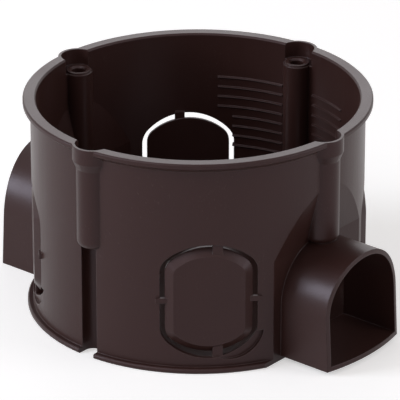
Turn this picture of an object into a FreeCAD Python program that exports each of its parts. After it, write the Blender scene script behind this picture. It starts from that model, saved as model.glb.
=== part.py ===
import FreeCAD, Part
import math
import os
import Sketcher

# A round back box for flush mounting, moulded in one piece of hard plastic.
# The origin is the centre of the underside, Z points out of the mouth, and X
# runs along the two coupling spouts. All lengths are millimetres.

SIZES = [
    # name, value, what it sets
    ("box_height", 42.5, "underside to the top of the rim"),
    ("wall_radius", 31.6, "outside of the round wall"),
    ("wall_thick", 1.1, "round wall"),
    ("floor_thick", 1.2, "closed bottom"),
    ("floor_bevel", 0.8, "inside corner between floor and wall"),
    ("foot_radius", 32.7, "small flange round the underside"),
    ("foot_thick", 1.0, "height of that flange"),
    ("rim_radius", 33.0, "outside of the rim lip"),
    ("rim_edge", 0.9, "upright edge of the lip"),
    ("rim_slope", 1.1, "height of the sloping underside of the lip"),
    ("edge_bevel", 0.25, "broken edges of the lip and the flange"),
    ("mouth_bevel", 0.3, "bevel inside the mouth"),
    ("flat_depth", 2.7, "round wall to the flat wall behind each spout"),
    ("flat_height", 20.9, "underside to where the flat wall starts to lean out"),
    ("flat_rise", 12.0, "height in which it leans out to the round wall"),
    ("screw_radius", 30.0, "box axis to each device screw"),
    ("post_radius", 2.7, "screw post inside the wall"),
    ("post_outer", 3.2, "screw post outside the wall"),
    ("post_foot", 22.0, "underside to the lower end of a post outside the wall"),
    ("post_round", 1.5, "rounding of that lower end"),
    ("pocket_radius", 3.3, "round pocket that sinks the post below the rim"),
    ("pocket_wall", 0.55, "thin wall round the pocket"),
    ("pocket_side", 3.0, "height of the pocket's straight side outside"),
    ("pocket_slope", 1.6, "height of the cone from pocket to post"),
    ("post_sink", 2.8, "rim to the top of a post"),
    ("collar_radius", 2.35, "raised collar round a screw hole"),
    ("collar_rise", 0.35, "height of that collar"),
    ("hole_radius", 1.35, "screw hole"),
    ("hole_bevel", 0.35, "lead-in of the screw hole"),
    ("hole_depth", 16.7, "screw hole below the top of its post"),
    ("channel_width", 3.6, "screw channel below the posts beside the spouts"),
    ("channel_depth", 2.8, "wall surface to the back of the channel"),
    ("spout_reach", 41.4, "box axis to the spout ends at the underside"),
    ("spout_lean", 0.05, "how far the ends lean back for each unit of height"),
    ("spigot_half", 10.6, "half the width of the narrow spout"),
    ("spigot_lift", 0.9, "underside of the box to that of the narrow spout"),
    ("spigot_spring", 11.2, "height where the arch of the narrow spout starts"),
    ("socket_half", 12.4, "half the width of the wide spout"),
    ("socket_spring", 10.7, "height where the arch of the wide spout starts"),
    ("spout_wall", 0.9, "wall of both spouts"),
    ("knock_turn", 1.4, "degrees from the middle of a knock-out to the diagonal"),
    ("knock_centre", 14.35, "height of the middle of a knock-out"),
    ("knock_radius", 11.5, "arched top and bottom of a knock-out"),
    ("knock_half", 9.05, "half the width of a knock-out"),
    ("knock_corner", 4.0, "corner of a knock-out"),
    ("knock_thick", 0.6, "thin edge of the panel of a knock-out"),
    ("crown_rise", 1.2, "flat middle of the panel above that edge"),
    ("crown_slope", 1.5, "width of the slope between them"),
    ("slit_side", 0.95, "slit beside the panel"),
    ("slit_end", 0.9, "slit above and below the panel"),
    ("tab_wide", 1.9, "bridge above and below the panel"),
    ("tab_shift", 1.6, "middle of the panel to those bridges"),
    ("tab_side", 1.0, "bridge beside the panel"),
    ("tab_reach", 0.8, "how far a side bridge runs on past the slit"),
    ("tab_rise", 0.35, "side bridge above the wall beside it"),
    ("tab_inset", 0.2, "inside of the panel to the bridges"),
    ("scoop_radius", 6.3, "driver notch round the corner of a knock-out"),
    ("scoop_depth", 0.7, "depth of that notch"),
    ("scoop_height", 8.7, "height of the middle of that notch's curve"),
    ("scoop_drop", 1.1, "from that middle down to the notch's straight top"),
    ("scoop_turn", 14.5, "degrees from the knock-out to the way the notch faces"),
    ("scoop_shift", 3.75, "middle of the notch back towards the panel"),
    ("ridge_depth", 0.4, "claw ridges inside the wall"),
    ("ridge_width", 0.9, "foot of a ridge"),
    ("ridge_pitch", 2.05, "ridge to ridge"),
    ("ridge_low", 19.15, "height of the lowest ridge"),
    ("ridge_start", 7.0, "degrees from a post to the start of a ridge"),
    ("ridge_long", 25.5, "degrees covered by the upper ridges on the long side"),
    ("ridge_short", 20.0, "degrees covered by the lower ridges on the long side"),
    ("ridge_far", 17.5, "degrees covered by all ridges on the other side"),
]
LOWER_RIDGE_COUNT = 4
UPPER_RIDGE_COUNT = 4
POST_COUNT = 4
KNOCK_OUT_COUNT = 4
PAIR = 2
DIAGONAL = 45.0
QUARTER_TURN = 90.0
FULL_TURN = 360.0
AXIS_LENGTH = 10.0
CUT_PAST = 2.0
BITE = 0.4


class Measure:
    """A length that knows its number and the formula over the named sizes."""

    def __init__(self, number, formula):
        self.number = number
        self.formula = formula

    def __add__(self, other):
        other = measure(other)
        return Measure(self.number + other.number, "(%s + %s)" % (self.formula, other.formula))

    def __sub__(self, other):
        other = measure(other)
        return Measure(self.number - other.number, "(%s - %s)" % (self.formula, other.formula))

    def __mul__(self, other):
        other = measure(other)
        return Measure(self.number * other.number, "(%s * %s)" % (self.formula, other.formula))

    def __truediv__(self, other):
        other = measure(other)
        return Measure(self.number / other.number, "(%s / %s)" % (self.formula, other.formula))

    def __neg__(self):
        return Measure(-self.number, "(0 - %s)" % self.formula)


def measure(value):
    """A plain number as a Measure; a Measure stays as it is."""
    if isinstance(value, Measure):
        return value
    return Measure(float(value), repr(value))


def root(value):
    """Square root of a Measure."""
    return Measure(math.sqrt(value.number), "sqrt(%s)" % value.formula)


def across(radius, offset):
    """Distance from the axis to a chord of a circle, taken at an offset."""
    return root(radius * radius - offset * offset)


def larger(one, other):
    """The larger of two Measures."""
    return Measure(max(one.number, other.number), "max(%s; %s)" % (one.formula, other.formula))


doc = FreeCAD.newDocument("back_box")
sheet = doc.addObject("Spreadsheet::Sheet", "Sizes")
for row, (name, value, purpose) in enumerate(SIZES, start=1):
    sheet.set("A%d" % row, name)
    sheet.set("B%d" % row, str(value))
    sheet.set("C%d" % row, purpose)
    sheet.setAlias("B%d" % row, name)
doc.recompute()


class Sizes:
    """Named sizes of the sheet, each as a Measure."""

    def __getattr__(self, name):
        return Measure(float(getattr(sheet, name)), "Sizes." + name)


mm = Sizes()


def new_body(name, label):
    """An empty body at the origin."""
    made = doc.addObject("PartDesign::Body", name)
    made.Label = label
    made.Placement = FreeCAD.Placement()
    doc.recompute()
    return made


body = new_body("BackBox", "back_box")
core = new_body("Core", "core")


def origin_part(owner, role):
    """One of a body's own base planes or axes."""
    for feature in owner.Origin.OriginFeatures:
        if feature.Role == role:
            return feature
    raise ValueError(role)


def bind(feature, prop, value):
    """Give a property its number and tie it to the sheet."""
    value = measure(value)
    feature.setExpression(prop, value.formula)


def new_sketch(name, role, turn=0.0, lift=0.0, owner=body):
    """A sketch on a base plane, turned about its own upright and lifted along its new normal."""
    sketch = owner.newObject("Sketcher::SketchObject", name)
    sketch.AttachmentSupport = [(origin_part(owner, role), "")]
    sketch.MapMode = "FlatFace"
    lift = measure(lift)
    turn = measure(turn)
    angle = math.radians(turn.number)
    spin = FreeCAD.Rotation(FreeCAD.Vector(0, 1, 0), turn.number)
    offset = FreeCAD.Vector(lift.number * math.sin(angle), 0, lift.number * math.cos(angle))
    sketch.AttachmentOffset = FreeCAD.Placement(offset, spin)
    bind(sketch, "AttachmentOffset.Base.x", lift * Measure(math.sin(angle), "sin(%s)" % turn.formula))
    bind(sketch, "AttachmentOffset.Base.z", lift * Measure(math.cos(angle), "cos(%s)" % turn.formula))
    if turn.number:
        bind(sketch, "AttachmentOffset.Rotation.Angle", turn)
    return sketch


def pin(sketch, geometry, point, x, y):
    """Hold a vertex at a measured place from the sketch's origin."""
    for kind, axis, value in (("DistanceX", -2, x), ("DistanceY", -1, y)):
        value = measure(value)
        if value.formula in ("0", "0.0"):
            sketch.addConstraint(Sketcher.Constraint("PointOnObject", geometry, point, axis))
            continue
        rule = Sketcher.Constraint(kind, -1, 1, geometry, point, value.number)
        index = sketch.addConstraint(rule)
        sketch.setExpression("Constraints[%d]" % index, value.formula)


def arc_between(start, end, radius):
    """Short arc that turns left from start to end."""
    middle = (start + end) * 0.5
    half = (end - start).Length / 2
    reach = math.sqrt(max(radius * radius - half * half, 0.0))
    along = (end - start).normalize()
    left = FreeCAD.Vector(-along.y, along.x, 0)
    centre = middle + left * reach
    top = centre - left * radius
    return Part.Arc(start, top, end)


def outline(sketch, path):
    """Draw a closed outline. Each entry is x, y and, for a bend that leads there, its radius.

    A positive radius turns left on the way to the vertex, a negative one turns right.
    """
    places = [FreeCAD.Vector(measure(p[0]).number, measure(p[1]).number, 0) for p in path]
    first = sketch.GeometryCount
    ends = []
    for index, entry in enumerate(path):
        start = places[index - 1]
        end = places[index]
        if len(entry) == 2:
            sketch.addGeometry(Part.LineSegment(start, end), False)
            ends.append((1, 2))
            continue
        radius = measure(entry[2])
        if radius.number > 0:
            sketch.addGeometry(arc_between(start, end, radius.number), False)
            ends.append((1, 2))
        else:
            sketch.addGeometry(arc_between(end, start, -radius.number), False)
            ends.append((2, 1))
    count = len(path)
    for index in range(count):
        following = (index + 1) % count
        here = first + index
        after = first + following
        meet = Sketcher.Constraint("Coincident", here, ends[index][1], after, ends[following][0])
        sketch.addConstraint(meet)
    for index, entry in enumerate(path):
        here = first + index
        pin(sketch, here, ends[index][1], entry[0], entry[1])
        if len(entry) == 3:
            radius = measure(entry[2])
            radius = radius if radius.number > 0 else -radius
            rule = sketch.addConstraint(Sketcher.Constraint("Radius", here, radius.number))
            sketch.setExpression("Constraints[%d]" % rule, radius.formula)


def upright_axis(sketch, x):
    """Construction line at x that a profile turns about."""
    foot = FreeCAD.Vector(x.number, 0, 0)
    head = FreeCAD.Vector(x.number, AXIS_LENGTH, 0)
    index = sketch.addGeometry(Part.LineSegment(foot, head), True)
    pin(sketch, index, 1, x, 0)
    sketch.addConstraint(Sketcher.Constraint("Vertical", index))
    sketch.addConstraint(Sketcher.Constraint("DistanceY", index, 1, index, 2, AXIS_LENGTH))


def finish(feature, change):
    """Rebuild, and make sure that the feature added or removed material as meant."""
    doc.recompute()
    before = feature.BaseFeature.Shape.Volume if feature.BaseFeature else 0.0
    after = feature.Shape.Volume
    if (after - before) * change <= 0:
        raise ValueError("%s changed the volume from %.1f to %.1f" % (feature.Name, before, after))
    print("%-16s %9.1f mm3" % (feature.Name, after))
    return feature


def turned(kind, name, sketch, axis, angle=FULL_TURN, midplane=False):
    """Revolution or Groove of a profile, in the sketch's own body."""
    feature = sketch.getParentGeoFeatureGroup().newObject("PartDesign::" + kind, name)
    feature.Profile = sketch
    feature.ReferenceAxis = (sketch, [axis])
    feature.Midplane = midplane
    feature.Angle = measure(angle).number
    if isinstance(angle, Measure):
        bind(feature, "Angle", angle)
    return finish(feature, 1 if kind == "Revolution" else -1)


def raised(kind, name, sketch, length, reversed_way=False):
    """Pad or Pocket of a profile, in the sketch's own body."""
    feature = sketch.getParentGeoFeatureGroup().newObject("PartDesign::" + kind, name)
    feature.Profile = sketch
    feature.Length = measure(length).number
    bind(feature, "Length", length)
    feature.Reversed = reversed_way
    return finish(feature, 1 if kind == "Pad" else -1)


def blended(name, first, second):
    """Solid with straight sides between two outlines of the same kind."""
    feature = first.getParentGeoFeatureGroup().newObject("PartDesign::AdditiveLoft", name)
    feature.Profile = first
    feature.Sections = [second]
    feature.Ruled = True
    return finish(feature, 1)


def around(name, originals, count, change):
    """Repeat features about the box axis."""
    owner = originals[0].getParentGeoFeatureGroup()
    pattern = owner.newObject("PartDesign::PolarPattern", name)
    pattern.Originals = originals
    pattern.Axis = (origin_part(owner, "Z_Axis"), [""])
    pattern.Angle = FULL_TURN
    pattern.Occurrences = count
    owner.Tip = pattern
    return finish(pattern, change)


inner_radius = mm.wall_radius - mm.wall_thick
flat_face = mm.wall_radius - mm.flat_depth
post_top = mm.box_height - mm.post_sink
past = measure(CUT_PAST)
bite = measure(BITE)


def round_outline(sketch, x, y, radius):
    """A full circle."""
    outline(sketch, [
        (x + radius, y, radius),
        (x, y + radius, radius),
        (x - radius, y, radius),
        (x, y - radius, radius),
    ])


# Round block with its foot flange and rim lip, still solid inside
def round_block():
    sketch = new_sketch("BlockProfile", "XZ_Plane")
    edge = mm.edge_bevel
    outline(sketch, [
        (0, 0),
        (mm.foot_radius - edge, 0),
        (mm.foot_radius, edge),
        (mm.foot_radius, mm.foot_thick - edge),
        (mm.foot_radius - edge, mm.foot_thick),
        (mm.wall_radius, mm.foot_thick),
        (mm.wall_radius, mm.box_height - mm.rim_edge - mm.rim_slope),
        (mm.rim_radius, mm.box_height - mm.rim_edge),
        (mm.rim_radius, mm.box_height - edge),
        (mm.rim_radius - edge, mm.box_height),
        (0, mm.box_height),
    ])
    return turned("Revolution", "RoundBlock", sketch, "V_Axis")


# The wall behind each spout is flat, and leans out to the round wall below the lip
def flat_walls(name, face, owner):
    top = mm.box_height - mm.rim_edge - mm.rim_slope
    lean_end = face + (top - mm.flat_height) * mm.flat_depth / mm.flat_rise
    far = larger(mm.foot_radius, lean_end) + past
    sketch = new_sketch(name + "Outline", "XZ_Plane", lift=far, owner=owner)
    for side in (1, -1):
        outline(sketch, [
            (face * side, -past),
            (far * side, -past),
            (far * side, top),
            (lean_end * side, top),
            (face * side, mm.flat_height),
        ])
    raised("Pocket", name, sketch, far * 2)


def tunnel_outline(sketch, half, low, spring):
    """Flat floor, upright sides and a half-round arch."""
    outline(sketch, [
        (-half, low),
        (half, low),
        (half, spring),
        (0, spring + half, half),
        (-half, spring, half),
    ])


# The narrow spout slides into the wide spout of the next box
def spouts():
    start = flat_face - mm.wall_thick
    narrow = new_sketch("SpigotSection", "YZ_Plane", lift=start)
    tunnel_outline(narrow, mm.spigot_half, mm.spigot_lift, mm.spigot_spring)
    raised("Pad", "Spigot", narrow, mm.spout_reach + past - start)
    wide = new_sketch("SocketSection", "YZ_Plane", lift=-start)
    tunnel_outline(wide, mm.socket_half, 0, mm.socket_spring)
    raised("Pad", "Socket", wide, mm.spout_reach + past - start, True)


# Both spout ends are cut on one cone about the box axis, so they bow outwards
def spout_ends():
    sketch = new_sketch("SpoutEndProfile", "XZ_Plane")
    far = mm.spout_reach + past * 3
    outline(sketch, [
        (mm.spout_reach + mm.spout_lean * past, -past),
        (far, -past),
        (far, mm.box_height),
        (mm.spout_reach - mm.spout_lean * mm.box_height, mm.box_height),
    ])
    turned("Groove", "SpoutEnds", sketch, "V_Axis")


def outer_post(name, turn, foot):
    """A pair of posts outside the wall, on the side that the turn gives."""
    sketch = new_sketch(name + "Profile", "XZ_Plane", turn)
    axis = mm.screw_radius
    upright_axis(sketch, axis)
    bulge = mm.pocket_radius + mm.pocket_wall
    shoulder = mm.box_height - mm.pocket_side
    side = axis + mm.post_outer
    outline(sketch, [
        (axis, foot),
        (side - mm.post_round, foot),
        (side, foot + mm.post_round, mm.post_round),
        (side, shoulder - mm.pocket_slope),
        (axis + bulge, shoulder),
        (axis + bulge, mm.box_height),
        (axis, mm.box_height),
    ])
    post = turned("Revolution", name, sketch, "Axis0")
    around(name + "Pair", [post], PAIR, 1)


# Screw posts outside the wall, each widened to a pocket under the rim and rounded at
# its foot. Two of them stand on the spouts.
def outer_posts():
    spout_top = mm.spigot_spring + mm.spigot_half
    outer_post("SpoutPost", 0.0, spout_top - mm.spout_wall / 2)
    outer_post("SidePost", QUARTER_TURN, mm.post_foot)


# Hollow of the box, cut with one core: round, with a bevel at the floor and the mouth,
# flat behind the spouts, and with the inner half of each post left standing
def hollow():
    sketch = new_sketch("CoreProfile", "XZ_Plane", owner=core)
    top = mm.box_height + past
    outline(sketch, [
        (0, mm.floor_thick),
        (inner_radius - mm.floor_bevel, mm.floor_thick),
        (inner_radius, mm.floor_thick + mm.floor_bevel),
        (inner_radius, mm.box_height - mm.mouth_bevel),
        (inner_radius + mm.mouth_bevel, mm.box_height),
        (inner_radius + mm.mouth_bevel, top),
        (0, top),
    ])
    turned("Revolution", "CoreRound", sketch, "V_Axis")
    flat_walls("CoreFlats", flat_face - mm.wall_thick, core)
    sketch = new_sketch("PostSection", "XY_Plane", owner=core)
    round_outline(sketch, mm.screw_radius, measure(0), mm.post_radius)
    column = raised("Pocket", "PostColumn", sketch, post_top, True)
    around("PostColumns", [column], POST_COUNT, -1)
    cut = body.newObject("PartDesign::Boolean", "Hollow")
    cut.Type = "Cut"
    cut.setObjects([core])
    finish(cut, -1)


# Pocket, collar and screw hole of each post in one turned cut
def screw_seats():
    sketch = new_sketch("SeatProfile", "XZ_Plane")
    axis = mm.screw_radius
    upright_axis(sketch, axis)
    outline(sketch, [
        (axis, post_top - mm.hole_depth),
        (axis + mm.hole_radius, post_top - mm.hole_depth),
        (axis + mm.hole_radius, post_top - mm.hole_bevel),
        (axis + mm.hole_radius + mm.hole_bevel, post_top),
        (axis + mm.collar_radius, post_top),
        (axis + mm.collar_radius, post_top - mm.collar_rise),
        (axis + mm.pocket_radius, post_top - mm.collar_rise),
        (axis + mm.pocket_radius, mm.box_height + past),
        (axis, mm.box_height + past),
    ])
    seat = turned("Groove", "ScrewSeat", sketch, "Axis0")
    around("ScrewSeats", [seat], POST_COUNT, -1)


# Open channel that lets a long screw run past the floor
def screw_channels():
    sketch = new_sketch("ChannelSection", "XY_Plane")
    half = mm.channel_width / 2
    back = mm.wall_radius - mm.channel_depth
    out = larger(mm.foot_radius, mm.wall_radius) + past
    outline(sketch, [
        (half, -out),
        (half, -(back + half)),
        (0, -back, half),
        (-half, -(back + half), half),
        (-half, -out),
    ])
    channel = raised("Pocket", "ScrewChannel", sketch, mm.post_foot, True)
    around("ScrewChannels", [channel], PAIR, -1)


# Way through each spout into the hollow
def tunnels():
    wall = mm.spout_wall
    near = mm.screw_radius - mm.post_radius - past
    length = mm.spout_reach + past * 2 - near
    narrow = new_sketch("SpigotBore", "YZ_Plane", lift=near)
    low = mm.spigot_lift + wall
    tunnel_outline(narrow, mm.spigot_half - wall, low, mm.spigot_spring)
    raised("Pocket", "SpigotTunnel", narrow, length, True)
    wide = new_sketch("SocketBore", "YZ_Plane", lift=-near)
    tunnel_outline(wide, mm.socket_half - wall, mm.floor_thick, mm.socket_spring)
    raised("Pocket", "SocketTunnel", wide, length)


def barrel_outline(sketch, half, radius, corner, height):
    """Upright sides between two arcs of one circle, with rounded corners."""
    rise = across(radius - corner, half - corner)
    touch_x = (half - corner) * radius / (radius - corner)
    touch_y = rise * radius / (radius - corner)
    outline(sketch, [
        (half, height - rise, corner),
        (half, height + rise),
        (touch_x, height + touch_y, corner),
        (-touch_x, height + touch_y, radius),
        (-half, height + rise, corner),
        (-half, height - rise),
        (-touch_x, height - touch_y, corner),
        (touch_x, height - touch_y, radius),
    ])


def block_outline(sketch, left, right, low, high):
    """A rectangle."""
    outline(sketch, [(left, low), (right, low), (right, high), (left, high)])


# A flat panel held in a slit by four thin bridges, to be pushed out for a cable. Its
# middle stands up to the round wall, and a notch beside it takes the screwdriver.
def knock_outs():
    turn = measure(DIAGONAL) - mm.knock_turn
    face = across(mm.wall_radius, mm.knock_half)
    back = face - mm.knock_thick
    outside = mm.wall_radius + past
    inside = across(inner_radius, mm.knock_half) - past
    height = mm.knock_centre

    sketch = new_sketch("KnockOpening", "XZ_Plane", turn, outside)
    barrel_outline(sketch, mm.knock_half, mm.knock_radius, mm.knock_corner, height)
    opening = raised("Pocket", "KnockSlit", sketch, outside - inside)

    sketch = new_sketch("NotchOutline", "XZ_Plane", turn + mm.scoop_turn, outside)
    reach = across(mm.scoop_radius, mm.scoop_drop)
    top = mm.scoop_height - mm.scoop_drop
    outline(sketch, [(reach - mm.scoop_shift, top, mm.scoop_radius), (-reach - mm.scoop_shift, top)])
    notch = raised("Pocket", "DriverNotch", sketch, outside - mm.wall_radius + mm.scoop_depth)
    around("KnockOpenings", [opening, notch], KNOCK_OUT_COUNT, -1)

    half = mm.knock_half - mm.slit_side
    radius = mm.knock_radius - mm.slit_end
    corner = mm.knock_corner - mm.slit_side
    sketch = new_sketch("PanelOutline", "XZ_Plane", turn, back)
    barrel_outline(sketch, half, radius, corner, height)
    panel = raised("Pad", "KnockPanel", sketch, mm.knock_thick)

    wide = new_sketch("CrownFoot", "XZ_Plane", turn, face)
    barrel_outline(wide, half, radius, corner, height)
    slope = mm.crown_slope
    flat = new_sketch("CrownTop", "XZ_Plane", turn, face + mm.crown_rise)
    barrel_outline(flat, half - slope, radius - slope, corner - slope, height)
    crown = blended("KnockCrown", wide, flat)

    low = back + mm.tab_inset
    sketch = new_sketch("EndBridges", "XZ_Plane", turn, low)
    left = mm.tab_shift - mm.tab_wide / 2
    right = mm.tab_shift + mm.tab_wide / 2
    near = radius - slope - bite
    far = mm.knock_radius + bite
    block_outline(sketch, left, right, height + near, height + far)
    block_outline(sketch, left, right, height - far, height - near)
    ends = raised("Pad", "KnockEnds", sketch, mm.wall_radius - bite - low)

    sketch = new_sketch("SideBridges", "XZ_Plane", turn, low)
    tab = mm.tab_side / 2
    near = half - slope - bite
    far = mm.knock_half + mm.tab_reach
    block_outline(sketch, near, far, height - tab, height + tab)
    block_outline(sketch, -far, -near, height - tab, height + tab)
    sides = raised("Pad", "KnockSides", sketch, face + mm.tab_rise - low)

    around("KnockPanels", [panel, crown, ends, sides], KNOCK_OUT_COUNT, 1)


# Ridges beside two posts that the claws of a switch bite into
def claw_ridges():
    all_ridges = LOWER_RIDGE_COUNT + UPPER_RIDGE_COUNT
    made = []
    for name, side, first, last, sweep in (
        ("LowerRidges", 1, 0, LOWER_RIDGE_COUNT, mm.ridge_short),
        ("UpperRidges", 1, LOWER_RIDGE_COUNT, all_ridges, mm.ridge_long),
        ("FarRidges", -1, 0, all_ridges, mm.ridge_far),
    ):
        middle = (mm.ridge_start + sweep / 2) * side + QUARTER_TURN
        sketch = new_sketch(name + "Profile", "XZ_Plane", middle)
        for step in range(first, last):
            height = mm.ridge_low + mm.ridge_pitch * step
            outline(sketch, [
                (inner_radius - mm.ridge_depth, height),
                (inner_radius + bite, height - mm.ridge_width / 2),
                (inner_radius + bite, height + mm.ridge_width / 2),
            ])
        made.append(turned("Revolution", name, sketch, "V_Axis", sweep, True))
    around("ClawRidges", made, PAIR, 1)


round_block()
flat_walls("FlatWalls", flat_face, body)
spouts()
spout_ends()
outer_posts()
hollow()
screw_seats()
screw_channels()
tunnels()
knock_outs()
claw_ridges()
doc.recompute()

for item in doc.Objects:
    if "Invalid" in item.State or "Error" in item.State:
        raise ValueError("%s is not built: %s" % (item.Name, item.State))
shape = body.Shape
if shape.isNull() or not shape.isValid():
    raise ValueError("back_box has no valid shape")
if len(shape.Solids) != 1:
    raise ValueError("back_box is %d solids" % len(shape.Solids))

os.makedirs("parts", exist_ok=True)
shape.exportStep(os.path.join("parts", body.Label + ".step"))
box = shape.BoundBox
print("back_box %.1f x %.1f x %.1f mm, %.0f mm3, %d faces" % (
    box.XLength, box.YLength, box.ZLength, shape.Volume, len(shape.Faces)))
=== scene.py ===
# %% [markdown]
# A flush back box is the round plastic cup that is plastered into a wall. It
# holds the wires and the insert of a switch or a socket. This lesson takes
# the measured solid of such a box, gives it the look of its dark moulded
# plastic, and sets it in a small studio with a pale floor.
#
# The solid comes first, because everything else is placed around it. It is
# loaded as it is and never moved, so that its sizes stay true. Its outer box
# is kept here, because the floor and the lamps are set by it.

# %% Load the measured solid
import math

import bpy
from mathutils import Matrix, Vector


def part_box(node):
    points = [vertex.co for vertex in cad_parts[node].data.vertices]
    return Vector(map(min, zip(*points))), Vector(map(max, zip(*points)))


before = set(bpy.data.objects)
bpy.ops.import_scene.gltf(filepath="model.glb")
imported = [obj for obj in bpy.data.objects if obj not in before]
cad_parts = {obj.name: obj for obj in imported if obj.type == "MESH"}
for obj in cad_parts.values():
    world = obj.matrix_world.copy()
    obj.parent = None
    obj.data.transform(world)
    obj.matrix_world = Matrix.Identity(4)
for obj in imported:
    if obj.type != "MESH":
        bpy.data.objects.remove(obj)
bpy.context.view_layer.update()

MM = 0.001
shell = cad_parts["back_box"]
shell_low, shell_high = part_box("back_box")
height = shell_high.z - shell_low.z
print("facets of the solid: %d" % len(shell.data.polygons))

# %% [markdown]
# The camera stands where the photographer stood. A product picture like this
# one is taken from far away with a long lens, which keeps upright edges
# upright and shows the rim as a clean ellipse. The stand is described as a
# photographer would say it: how far round the box in degrees, how high above
# it in degrees, how far away, and which lens. The last two sizes aim the lens.

# %% Camera
CAMERA_ROUND = 39.85
CAMERA_ABOVE = 24.46
CAMERA_AWAY = 765.35 * MM
CAMERA_BASE = 19.13 * MM
LENS = 361.64
SENSOR = 36.0
NEAREST = 50 * MM
FARTHEST = 20000 * MM
AIM_HEIGHT = 20.68 * MM
AIM_RIGHT = 0.39 * MM


def direction(round_deg, above_deg):
    """Unit vector from the box towards a place round it and above it, in degrees."""
    turn = math.radians(round_deg)
    lift = math.radians(above_deg)
    level = math.cos(lift)
    return Vector((math.sin(turn) * level, -math.cos(turn) * level, math.sin(lift)))


def look(thing, target):
    """Turn a camera or a lamp towards a point."""
    aim = target - thing.location
    thing.rotation_mode = "QUATERNION"
    thing.rotation_quaternion = aim.to_track_quat("-Z", "Y")


camera_data = bpy.data.cameras.new("camera")
camera_data.lens = LENS
camera_data.sensor_width = SENSOR
camera_data.clip_start = NEAREST
camera_data.clip_end = FARTHEST
camera = bpy.data.objects.new("camera", camera_data)
bpy.context.scene.collection.objects.link(camera)
camera.location = direction(CAMERA_ROUND, CAMERA_ABOVE) * CAMERA_AWAY + Vector((0, 0, CAMERA_BASE))
camera_turn = math.radians(CAMERA_ROUND)
image_right = Vector((math.cos(camera_turn), math.sin(camera_turn), 0))
look(camera, image_right * AIM_RIGHT + Vector((0, 0, AIM_HEIGHT)))
bpy.context.scene.camera = camera
print("camera %.0f mm from the box, %.1f degrees round, %.1f above" % (
    CAMERA_AWAY / MM, CAMERA_ROUND, CAMERA_ABOVE))

# %% [markdown]
# A material in Blender is a net of nodes, and many of its nodes only add,
# multiply or stretch a value. The two helpers below each place one such node,
# so that the materials that follow read as a few lines of sums. A term is
# either a plain number or the socket that the value comes from.

# %% Helpers for sums between nodes
def arithmetic(tree, operation, one, other=None, third=None, clamp=False):
    """One step of arithmetic. Each term is a number or the socket it comes from."""
    node = tree.nodes.new("ShaderNodeMath")
    node.operation = operation
    node.use_clamp = clamp
    for index, term in enumerate((one, other, third)):
        if term is None:
            continue
        if isinstance(term, (int, float)):
            node.inputs[index].default_value = term
        else:
            tree.links.new(term, node.inputs[index])
    return node.outputs[0]


def ramp(tree, value, first, last, low=0.0, high=1.0):
    """Stretch a value: it gives low at first, high at last, and never goes past them."""
    node = tree.nodes.new("ShaderNodeMapRange")
    node.inputs["From Min"].default_value = first
    node.inputs["From Max"].default_value = last
    node.inputs["To Min"].default_value = low
    node.inputs["To Max"].default_value = high
    tree.links.new(value, node.inputs["Value"])
    return node.outputs["Result"]


print("helpers for sums ready")

# %% [markdown]
# The stage is a pale table that reaches past every edge of the picture. Paper
# like that is matt, so it is one diffuse surface. To the camera, and in
# reflections, it glows a little as well, which lifts it to white but leaves
# the soft shadow under the box. The world around it does the same: white
# where the camera or a reflection sees it, a quieter grey where it lights.
# The paper is a trace warm, which balances the cool key lamp to a plain white.

# %% Stage and world
FLOOR_HALF = 6.0
FLOOR_COLOUR = (0.84, 0.81, 0.79, 1.0)
FLOOR_ROUGHNESS = 0.9
FLOOR_GLOW = 0.48
WORLD_LIGHT = 0.24
WHITE = (1.0, 1.0, 1.0, 1.0)


def seen_or_mirrored(tree):
    """1 for camera, glossy and transmitted rays, 0 for the rest."""
    path = tree.nodes.new("ShaderNodeLightPath").outputs
    seen = arithmetic(tree, "MAXIMUM", path["Is Camera Ray"], path["Is Glossy Ray"])
    return arithmetic(tree, "MAXIMUM", seen, path["Is Transmission Ray"])


def studio_paper():
    """Matt white paper that shows near white and keeps its shadows."""
    material = bpy.data.materials.new("studio paper")
    material.use_nodes = True
    tree = material.node_tree
    shader = tree.nodes["Principled BSDF"]
    shader.inputs["Base Color"].default_value = FLOOR_COLOUR
    shader.inputs["Roughness"].default_value = FLOOR_ROUGHNESS
    shader.inputs["Specular IOR Level"].default_value = 0.0
    shader.inputs["Emission Color"].default_value = WHITE
    glow = arithmetic(tree, "MULTIPLY", seen_or_mirrored(tree), FLOOR_GLOW)
    tree.links.new(glow, shader.inputs["Emission Strength"])
    return material


bpy.ops.mesh.primitive_plane_add(size=2 * FLOOR_HALF, location=(0, 0, shell_low.z))
floor = bpy.context.object
floor.name = "floor"
floor.data.materials.append(studio_paper())

world = bpy.data.worlds.new("studio")
bpy.context.scene.world = world
world.use_nodes = True
sky = world.node_tree.nodes["Background"]
sky.inputs["Color"].default_value = WHITE
sky_level = ramp(world.node_tree, seen_or_mirrored(world.node_tree), 0.0, 1.0, WORLD_LIGHT, 1.0)
world.node_tree.links.new(sky_level, sky.inputs["Strength"])
print("floor %.0f m wide at height %.1f mm" % (2 * FLOOR_HALF, shell_low.z / MM))

# %% [markdown]
# Dark plastic shows lamps mostly as reflections, so each lamp is a large soft
# panel. The key panel stands low at the front left, where the rounded arches
# of both spouts mirror it as one soft highlight each. A side panel lights the
# right flank, and a wide panel hangs behind the box, where the flat rim
# mirrors it and shows as a bright ring. The last one is a high, weak fill
# from the front, which keeps the knock-outs and the hollow readable. The key
# is cool like a daylight lamp, and the others have a trace of violet, because
# that is how white light looks next to a warm brown.

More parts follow.
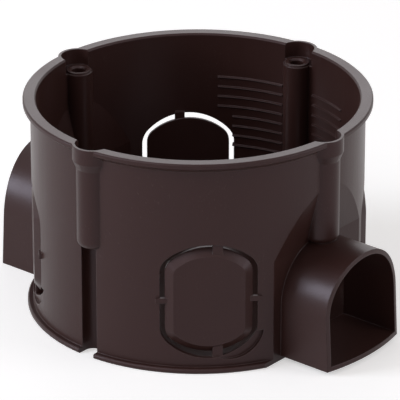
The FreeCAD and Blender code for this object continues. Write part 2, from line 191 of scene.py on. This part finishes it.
# %% Lamps
LAMPS = [
    # name, degrees round, degrees above, then metres away, wide and tall, watts, colour
    ("key panel", -39.0, 21.0, 0.80, 0.30, 0.30, 3.6, (0.82, 0.90, 1.0)),
    ("side panel", 115.0, 22.0, 0.85, 0.40, 0.60, 1.7, (1.0, 0.97, 1.0)),
    ("back panel", -140.0, 26.0, 0.95, 0.60, 0.40, 1.24, (1.0, 0.98, 1.0)),
    ("front panel", -10.0, 50.0, 0.90, 0.50, 0.50, 1.4, (1.0, 0.96, 1.0)),
]


def add_lamp(name, round_deg, above_deg, away, wide, tall, watts, colour):
    """A rectangular soft panel that points at the middle of the box."""
    data = bpy.data.lights.new(name, "AREA")
    data.shape = "RECTANGLE"
    data.size = wide
    data.size_y = tall
    data.energy = watts
    data.color = colour
    lamp = bpy.data.objects.new(name, data)
    bpy.context.scene.collection.objects.link(lamp)
    lamp.visible_camera = False
    middle = Vector((0, 0, height / 2))
    lamp.location = middle + direction(round_deg, above_deg) * away
    look(lamp, middle)


for lamp_facts in LAMPS:
    add_lamp(*lamp_facts)
print("lamps: %d" % len(LAMPS))

# %% [markdown]
# The plastic is built from small effects, and each effect is a node group: a
# box of nodes with named inputs and outputs that can be placed in any
# material. The helpers below make such a group, place it, and add noise, so
# that each effect that follows reads as a short recipe. Noise is built on a
# grid of cubes, which shows on a face that lies flat in it, such as the rim.
# So the helper for noise always tilts that grid.

# %% Helpers for node groups
FLOAT = "NodeSocketFloat"
VECTOR = "NodeSocketVector"
OFF_THE_GRID = (0.5, 0.7, 0.3)
EVEN = (1.0, 1.0, 1.0)


def new_group(name, inputs, outputs):
    """An empty shader node group with float or vector sockets."""
    group = bpy.data.node_groups.new(name, "ShaderNodeTree")
    for label, kind, value in inputs:
        socket = group.interface.new_socket(label, in_out="INPUT", socket_type=kind)
        if value is not None:
            socket.default_value = value
    for label, kind in outputs:
        group.interface.new_socket(label, in_out="OUTPUT", socket_type=kind)
    entry = group.nodes.new("NodeGroupInput")
    leave = group.nodes.new("NodeGroupOutput")
    return group, entry, leave


def place_group(tree, group, place, values):
    """A group placed in a material, with its own values."""
    node = tree.nodes.new("ShaderNodeGroup")
    node.node_tree = group
    tree.links.new(place, node.inputs["Place"])
    for label, value in values.items():
        node.inputs[label].default_value = value
    return node


def noise(tree, place, scale, detail, stretch=EVEN):
    """Soft noise from 0 to 1. The scale is in waves per metre, and stretch draws it out."""
    mapping = tree.nodes.new("ShaderNodeMapping")
    mapping.inputs["Scale"].default_value = stretch
    mapping.inputs["Rotation"].default_value = OFF_THE_GRID
    tree.links.new(place, mapping.inputs["Vector"])
    node = tree.nodes.new("ShaderNodeTexNoise")
    node.inputs["Detail"].default_value = detail
    tree.links.new(mapping.outputs["Vector"], node.inputs["Vector"])
    if isinstance(scale, (int, float)):
        node.inputs["Scale"].default_value = scale
    else:
        tree.links.new(scale, node.inputs["Scale"])
    return node.outputs["Fac"]


print("helpers for groups ready")

# %% [markdown]
# A steel mould leaves three marks on plastic. Spark erosion gives it a fine
# grain, a few tenths of a millimetre from bump to bump, which you see as a
# soft sheen. The plastic cools unevenly as it flows, and leaves broad, faint
# clouds that are a little duller. As the box is pushed out of the mould its
# walls drag along the steel, which draws thin upright lines on whatever
# stands upright. The group adds grain and lines to one height, gives the
# clouds as a mask, and turns clouds and lines into an uneven roughness.

# %% Mould grain
CLOUD_STRETCH = (1.0, 1.0, 0.45)
LINE_STRETCH = (1.0, 1.0, 0.02)
LINE_DULLNESS = 0.4
USUAL_UNEVENNESS = 0.65


def mould_grain():
    """Fine grain with drag lines and slow clouds."""
    group, entry, leave = new_group("mould grain", [
        ("Place", VECTOR, None),
        ("Grain Scale", FLOAT, 3600.0),
        ("Cloud Scale", FLOAT, 90.0),
        ("Line Scale", FLOAT, 1500.0),
        ("Line Share", FLOAT, 0.3),
        ("Roughness", FLOAT, 0.4),
        ("Spread", FLOAT, 0.1),
    ], [("Height", FLOAT), ("Clouds", FLOAT), ("Roughness", FLOAT)])
    given = entry.outputs
    links = group.links
    grain = noise(group, given["Place"], given["Grain Scale"], detail=3.0)
    clouds = noise(group, given["Place"], given["Cloud Scale"], detail=3.0, stretch=CLOUD_STRETCH)
    lines = noise(group, given["Place"], given["Line Scale"], detail=2.0, stretch=LINE_STRETCH)
    facing = group.nodes.new("ShaderNodeNewGeometry")
    axes = group.nodes.new("ShaderNodeSeparateXYZ")
    links.new(facing.outputs["True Normal"], axes.inputs["Vector"])
    level = arithmetic(group, "ABSOLUTE", axes.outputs["Z"])
    upright = arithmetic(group, "SUBTRACT", 1.0, level)
    drawn = arithmetic(group, "MULTIPLY", lines, upright)
    surface = arithmetic(group, "MULTIPLY_ADD", drawn, given["Line Share"], grain)
    uneven = arithmetic(group, "MULTIPLY_ADD", drawn, LINE_DULLNESS, clouds)
    centred = arithmetic(group, "SUBTRACT", uneven, USUAL_UNEVENNESS)
    rough = arithmetic(group, "MULTIPLY_ADD", centred, given["Spread"], given["Roughness"])
    links.new(surface, leave.inputs["Height"])
    links.new(clouds, leave.inputs["Clouds"])
    links.new(rough, leave.inputs["Roughness"])
    return group


grain_group = mould_grain()
print("%s: %d nodes" % (grain_group.name, len(grain_group.nodes)))

# %% [markdown]
# No moulded edge is truly sharp. It is rounded by a tenth or two of a
# millimetre, and that small round catches a thin line of light. Blender can
# look for edges while it renders: its Bevel node gives the normal that a
# rounded edge would have, and that normal shades the edge as a real round.
# Where that normal leaves the true one, there is an edge, and there the colour
# is painted paler: partly for the wear of handling, partly as a painted
# highlight along the edge. Noise breaks that paler line up into patches.

# %% Edge wear and painted edge highlight
BEVEL_SAMPLES = 8
EDGE_STARTS = 0.995
EDGE_FULL = 0.90
BREAK_STARTS = 0.35
BREAK_FULL = 0.65


def edge_wear_and_sheen():
    """Rounded normal at the edges, and a broken mask where they are painted paler, for wear and as a
    painted highlight.
    """
    group, entry, leave = new_group("edge wear and sheen", [
        ("Place", VECTOR, None),
        ("Radius", FLOAT, 0.2 * MM),
        ("Break Scale", FLOAT, 500.0),
        ("Amount", FLOAT, 1.0),
    ], [("Normal", VECTOR), ("Mask", FLOAT)])
    given = entry.outputs
    links = group.links
    rounded = group.nodes.new("ShaderNodeBevel")
    rounded.samples = BEVEL_SAMPLES
    links.new(given["Radius"], rounded.inputs["Radius"])
    facing = group.nodes.new("ShaderNodeNewGeometry")
    agree = group.nodes.new("ShaderNodeVectorMath")
    agree.operation = "DOT_PRODUCT"
    links.new(rounded.outputs["Normal"], agree.inputs[0])
    links.new(facing.outputs["Normal"], agree.inputs[1])
    # The edge mask paints the edge paler: partly wear, partly a painted highlight.
    edge = ramp(group, agree.outputs["Value"], EDGE_STARTS, EDGE_FULL)
    patchy = noise(group, given["Place"], given["Break Scale"], detail=4.0)
    breaks = ramp(group, patchy, BREAK_STARTS, BREAK_FULL)
    broken = arithmetic(group, "MULTIPLY", edge, breaks)
    mask = arithmetic(group, "MULTIPLY", broken, given["Amount"], clamp=True)
    links.new(rounded.outputs["Normal"], leave.inputs["Normal"])
    links.new(mask, leave.inputs["Mask"])
    return group


edge_wear_sheen_group = edge_wear_and_sheen()
print("%s: %d nodes" % (edge_wear_sheen_group.name, len(edge_wear_sheen_group.nodes)))

# %% [markdown]
# Boxes like this are shipped loose in a carton, where they slide against one
# another. That leaves short, shallow scuffs. A noise that is drawn out a
# long way in one direction gives thin streaks, and a second, slow noise
# keeps only a few patches of them. The streaks are turned first, because
# nothing in a carton slides exactly along the walls.

# %% Carton scuffs
SCUFF_TURN = (0.35, 0.55, 0.2)
STREAK_SCALE = 2600.0
STREAK_STRETCH = (1.0, 1.0, 0.06)
STREAK_STARTS = 0.62
STREAK_FULL = 0.74
PATCH_SCALE = 70.0
PATCH_STARTS = 0.52
PATCH_FULL = 0.68


def carton_scuffs():
    """Thin streaks in a few patches, as a mask."""
    group, entry, leave = new_group("carton scuffs", [
        ("Place", VECTOR, None),
        ("Amount", FLOAT, 1.0),
    ], [("Mask", FLOAT)])
    given = entry.outputs
    turned = group.nodes.new("ShaderNodeMapping")
    turned.inputs["Rotation"].default_value = SCUFF_TURN
    group.links.new(given["Place"], turned.inputs["Vector"])
    slides = noise(group, turned.outputs["Vector"], STREAK_SCALE, detail=2.0, stretch=STREAK_STRETCH)
    streaks = ramp(group, slides, STREAK_STARTS, STREAK_FULL)
    slow = noise(group, given["Place"], PATCH_SCALE, detail=2.0)
    patches = ramp(group, slow, PATCH_STARTS, PATCH_FULL)
    scuffed = arithmetic(group, "MULTIPLY", streaks, patches)
    mask = arithmetic(group, "MULTIPLY", scuffed, given["Amount"], clamp=True)
    group.links.new(mask, leave.inputs["Mask"])
    return group


scuff_group = carton_scuffs()
print("%s: %d nodes" % (scuff_group.name, len(scuff_group.nodes)))

# %% [markdown]
# Now the plastic itself. Its colour is a very dark warm brown, because the
# pigment is mixed right through and the light hardly enters. All that the
# eye sees beside that colour is gloss. The colour varies by a few percent
# with the clouds and turns paler and greyer where a scuff wears it and along
# the edges, where the paler colour is partly wear and partly a painted
# highlight. A scuff is duller as well. The grain goes into a Bump node on top
# of the rounded normal.

# %% Moulded plastic
BASE = (0.036, 0.0150, 0.0125, 1.0)
# Paler, greyer colour: wear on the scuffs, and on the edges partly wear, partly a painted highlight.
WEAR_AND_SHEEN_COLOUR = (0.085, 0.060, 0.056, 1.0)
SHEEN = 0.25
SHEEN_TINT = (1.0, 0.90, 0.99, 1.0)
PLASTIC_ROUGHNESS = 0.35
ROUGHNESS_SPREAD = 0.16
SCUFF_DULLNESS = 0.3
GRAIN_DEPTH = 0.020 * MM
CLOUD_SHADE = 0.16
EDGE_RADIUS = 0.22 * MM


def moulded_plastic():
    """Dark brown plastic with grain, clouds, faint scuffs, and edges painted paler for wear and as a
    painted highlight.
    """
    material = bpy.data.materials.new("moulded plastic")
    material.use_nodes = True
    tree = material.node_tree
    links = tree.links
    shader = tree.nodes["Principled BSDF"]
    shader.inputs["Specular IOR Level"].default_value = SHEEN
    shader.inputs["Specular Tint"].default_value = SHEEN_TINT
    place = tree.nodes.new("ShaderNodeTexCoord").outputs["Object"]
    grain = place_group(tree, grain_group, place, {
        "Grain Scale": 3600.0,
        "Cloud Scale": 90.0,
        "Line Scale": 1500.0,
        "Line Share": 0.35,
        "Roughness": PLASTIC_ROUGHNESS,
        "Spread": ROUGHNESS_SPREAD,
    }).outputs
    edges = place_group(tree, edge_wear_sheen_group, place, {
        "Radius": EDGE_RADIUS,
        "Break Scale": 500.0,
        "Amount": 0.7,
    }).outputs
    scuffs = place_group(tree, scuff_group, place, {"Amount": 0.35}).outputs

    shade = arithmetic(tree, "MULTIPLY_ADD", grain["Clouds"], CLOUD_SHADE, 1.0 - CLOUD_SHADE / 2)
    clouded = tree.nodes.new("ShaderNodeVectorMath")
    clouded.operation = "SCALE"
    clouded.inputs[0].default_value = BASE[:3]
    links.new(shade, clouded.inputs["Scale"])
    # Paler colour where scuffs wear the plastic and along the edges, where it is partly a painted
    # highlight.
    wear_and_sheen = arithmetic(tree, "MAXIMUM", edges["Mask"], scuffs["Mask"])
    colour = tree.nodes.new("ShaderNodeMix")
    colour.data_type = "RGBA"
    links.new(wear_and_sheen, colour.inputs["Factor"])
    links.new(clouded.outputs["Vector"], colour.inputs["A"])
    colour.inputs["B"].default_value = WEAR_AND_SHEEN_COLOUR
    links.new(colour.outputs["Result"], shader.inputs["Base Color"])

    dull = arithmetic(tree, "MULTIPLY_ADD", scuffs["Mask"], SCUFF_DULLNESS, grain["Roughness"], True)
    links.new(dull, shader.inputs["Roughness"])
    bump = tree.nodes.new("ShaderNodeBump")
    bump.inputs["Distance"].default_value = GRAIN_DEPTH
    links.new(grain["Height"], bump.inputs["Height"])
    links.new(edges["Normal"], bump.inputs["Normal"])
    links.new(bump.outputs["Normal"], shader.inputs["Normal"])
    return material


shell.data.materials.clear()
shell.data.materials.append(moulded_plastic())
print("materials on the box: %d" % len(shell.data.materials))

# %% [markdown]
# The last cell sets the plain view transform, so that colours render as they
# are written.

# %% Finish
bpy.context.scene.view_settings.view_transform = "Standard"
